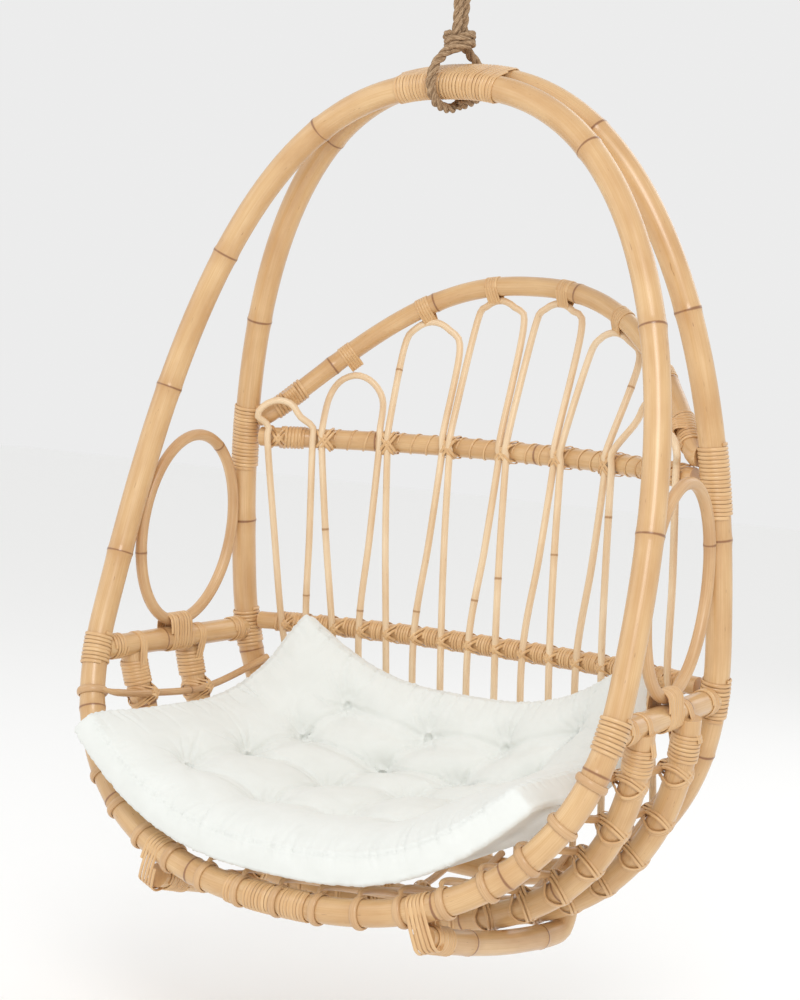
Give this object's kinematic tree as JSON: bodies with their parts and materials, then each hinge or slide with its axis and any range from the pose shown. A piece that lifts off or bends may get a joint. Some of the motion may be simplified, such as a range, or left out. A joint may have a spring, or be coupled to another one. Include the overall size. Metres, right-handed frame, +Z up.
{
  "type": "hanging egg chair",
  "caption": "Hanging egg chair: rattan hoops tied under a rope, ribbed seat, back of looped canes, side rings and a loose tufted cushion, on a ceiling swivel.",
  "frame": {"origin": "centre of the ceiling plate's mounting face", "axes": "+Z up into the ceiling, the sitter looks along -Y, +X to the sitter's left"},
  "size_m": [0.9092, 0.5777, 1.5379],
  "materials": {
    "rattan": "clear varnish on peeled rattan pole",
    "cane": "sanded rattan cane",
    "peel": "wound cane strip",
    "jute_rope": "laid jute",
    "zinc_steel": "zinc plated",
    "cotton": "plain woven cotton"
  },
  "bodies": {
    "ceiling": {"ceiling_plate": "zinc_steel", "thrust_washer": "zinc_steel"},
    "swivel": {"swivel_eye": "zinc_steel", "retaining_nut": "zinc_steel"},
    "ring": {"hanging_ring": "zinc_steel"},
    "chair": {"rope_thimble": "zinc_steel", "hanging_rope": "jute_rope", "rope_knot": "jute_rope", "top_binding": "peel", "front_hoop": "rattan", "back_hoop": "rattan", "front_seat_hoop": "rattan", "rear_seat_hoop": "rattan", "left_arm_rail": "rattan", "right_arm_rail": "rattan", "left_side_ring": "cane", "right_side_ring": "cane", "back_arch": "rattan", "mid_rail": "rattan", "lower_rail": "rattan", "back_loop_1": "cane", "back_loop_2": "cane", "back_loop_3": "cane", "back_loop_4": "cane", "back_loop_5": "cane", "back_loop_6": "cane", "back_loop_7": "cane", "back_loop_8": "cane", "seat_rib_1": "cane", "seat_rib_2": "cane", "seat_rib_3": "cane", "seat_rib_4": "cane", "seat_rib_5": "cane", "seat_rib_6": "cane", "seat_rib_7": "cane", "seat_rib_8": "cane", "seat_rib_9": "cane", "seat_rib_10": "cane", "seat_rib_11": "cane", "seat_rib_12": "cane", "seat_rib_13": "cane", "seat_rib_14": "cane", "seat_rib_15": "cane", "seat_rib_16": "cane", "seat_rib_17": "cane", "rib_rings": "cane", "left_runner": "rattan", "right_runner": "rattan", "runner_bindings": "peel", "front_arm_bindings": "peel", "back_arm_bindings": "peel", "mid_rail_bindings": "peel", "seat_hoop_bindings": "peel", "ring_ties": "peel"},
    "cushion": {"cushion": "cotton"}
  },
  "joints": [
    {"name": "swivel_turn", "type": "hinge", "parent": "ceiling", "child": "swivel", "pos_m": [0, 0, -0.028], "axis": [0, 0, 1], "continuous": true},
    {"name": "side_swing", "type": "hinge", "parent": "swivel", "child": "ring", "pos_m": [0, 0, -0.0956], "axis": [0, 1, 0], "range_deg": [-20, 20]},
    {"name": "fore_and_aft_swing", "type": "hinge", "parent": "ring", "child": "chair", "pos_m": [0, 0, -0.1343], "axis": [1, 0, 0], "range_deg": [-20, 20]},
    {"name": "cushion_lift_out", "type": "slide", "parent": "chair", "child": "cushion", "axis": [0, -0.8944, 0.4472], "range_m": [0, 0.25]}
  ]
}
